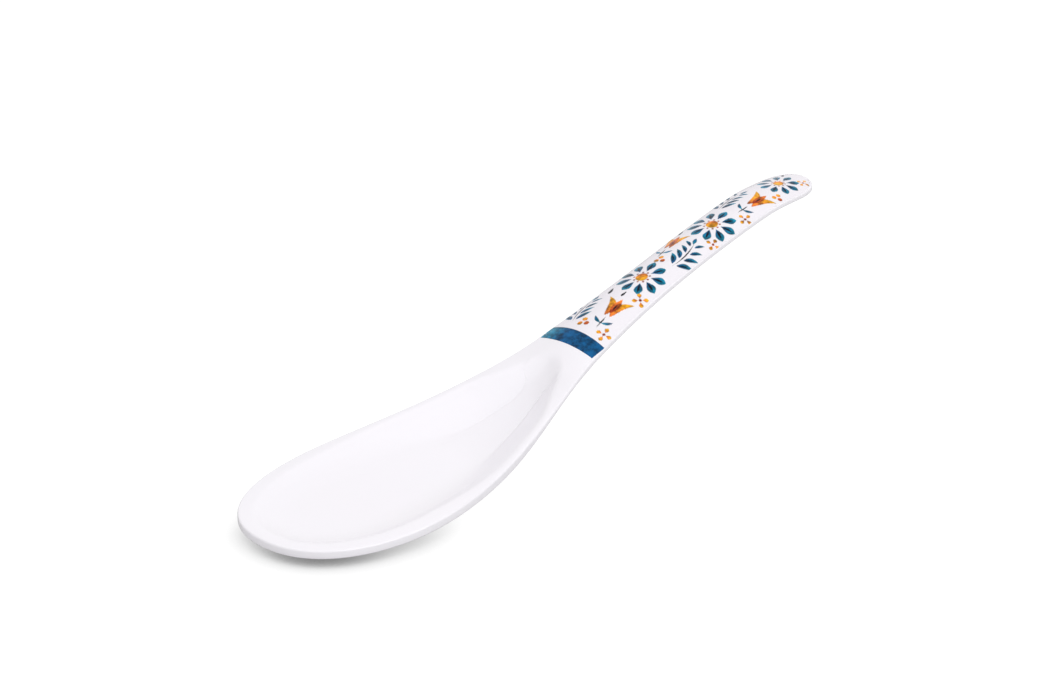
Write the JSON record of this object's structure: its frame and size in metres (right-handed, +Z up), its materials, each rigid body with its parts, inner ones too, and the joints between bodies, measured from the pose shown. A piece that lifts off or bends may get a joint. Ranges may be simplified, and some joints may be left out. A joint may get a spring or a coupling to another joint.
{
  "type": "rice serving spoon",
  "caption": "Shallow shovel-shaped serving spoon for rice, moulded in glossy white melamine, with a rising neck and an arched handle that carries a printed foil under a clear glaze.",
  "frame": {"origin": "centre of the bounding box in plan, on the plane of the bowl's flat base", "axes": "+X along the spoon from the bowl's tip to the handle's tip, +Y across it, +Z up out of the bowl"},
  "size_m": [0.243, 0.06, 0.0464],
  "materials": {
    "white_melamine": "pressed melamine, smooth and glossy",
    "printed_foil": "coloured print on a white resin foil",
    "clear_glaze": "clear melamine glaze, glossy"
  },
  "bodies": {
    "root": {"spoon_body": "white_melamine", "handle_decal": "printed_foil", "handle_glaze": "clear_glaze"}
  },
  "joints": []
}
